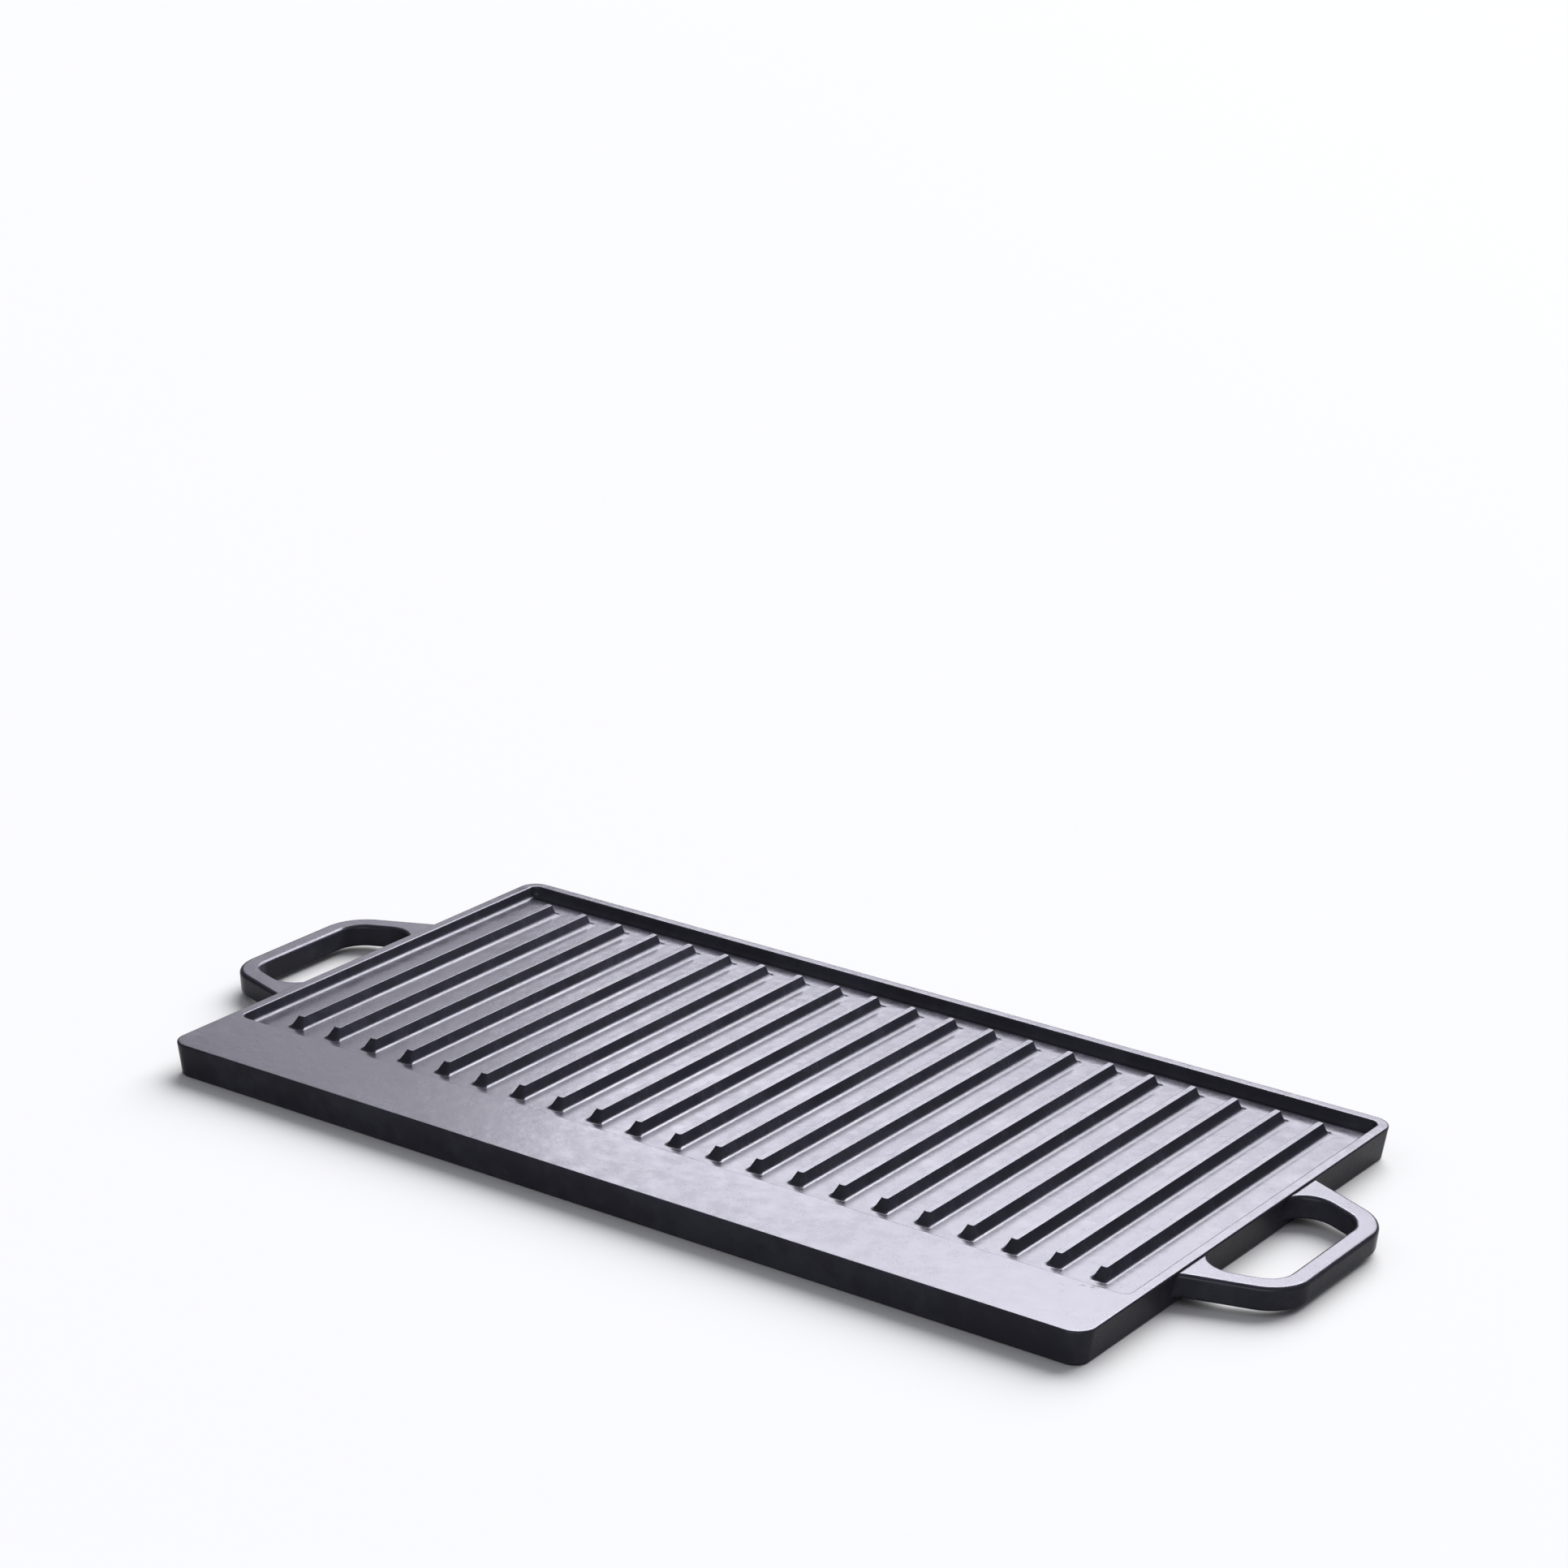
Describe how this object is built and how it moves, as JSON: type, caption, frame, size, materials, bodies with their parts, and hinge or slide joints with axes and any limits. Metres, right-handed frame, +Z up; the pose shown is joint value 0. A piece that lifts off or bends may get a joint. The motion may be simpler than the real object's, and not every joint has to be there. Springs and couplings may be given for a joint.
{
  "type": "griddle plate",
  "caption": "Flat rectangular cast-iron griddle plate with raised parallel ribs in a shallow recess, a wide plain land along one long side and a loop handle at each short end.",
  "frame": {"origin": "on the surface it stands on, under the middle of the plate", "axes": "+X along the plate towards the right handle, +Y towards the back rim, +Z up through the ribbed face"},
  "size_m": [0.5316, 0.2498, 0.015],
  "materials": {
    "seasoned_iron": "satin, pre-seasoned sand-cast surface"
  },
  "bodies": {
    "root": {"deck": "seasoned_iron", "front_land": "seasoned_iron", "back_rim": "seasoned_iron", "left_rim": "seasoned_iron", "right_rim": "seasoned_iron", "rib_01": "seasoned_iron", "rib_02": "seasoned_iron", "rib_03": "seasoned_iron", "rib_04": "seasoned_iron", "rib_05": "seasoned_iron", "rib_06": "seasoned_iron", "rib_07": "seasoned_iron", "rib_08": "seasoned_iron", "rib_09": "seasoned_iron", "rib_10": "seasoned_iron", "rib_11": "seasoned_iron", "rib_12": "seasoned_iron", "rib_13": "seasoned_iron", "rib_14": "seasoned_iron", "rib_15": "seasoned_iron", "rib_16": "seasoned_iron", "rib_17": "seasoned_iron", "rib_18": "seasoned_iron", "rib_19": "seasoned_iron", "rib_20": "seasoned_iron", "rib_21": "seasoned_iron", "underside_pad": "seasoned_iron", "underside_front_rail": "seasoned_iron", "underside_back_rail": "seasoned_iron", "underside_left_rail": "seasoned_iron", "underside_right_rail": "seasoned_iron", "left_handle": "seasoned_iron", "right_handle": "seasoned_iron"}
  },
  "joints": []
}
